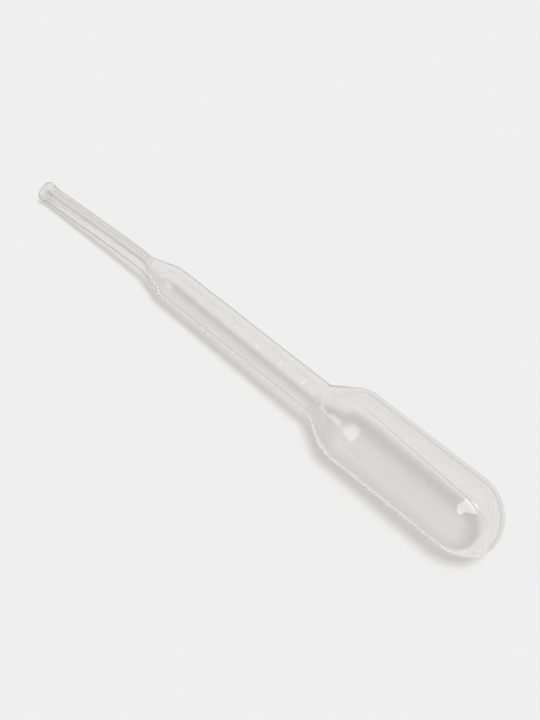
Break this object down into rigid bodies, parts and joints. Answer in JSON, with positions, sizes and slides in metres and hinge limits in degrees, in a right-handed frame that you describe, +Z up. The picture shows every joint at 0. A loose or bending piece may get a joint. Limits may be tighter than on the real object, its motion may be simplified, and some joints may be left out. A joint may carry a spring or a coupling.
{
  "type": "plastic dropper pipette",
  "caption": "One-piece blow-moulded dropper pipette with a squeeze bulb, slim barrel and flared fine tip.",
  "frame": {"origin": "middle of the bounding box's underside, on the surface that the pipette lies on", "axes": "+X along the pipette from mouth to bulb, level; +Z up"},
  "size_m": [0.0946, 0.012, 0.0131],
  "materials": {
    "milky_plastic": "milky translucent low-density polyethylene, softly glossy"
  },
  "bodies": {
    "root": {"pipette": "milky_plastic"}
  },
  "joints": []
}
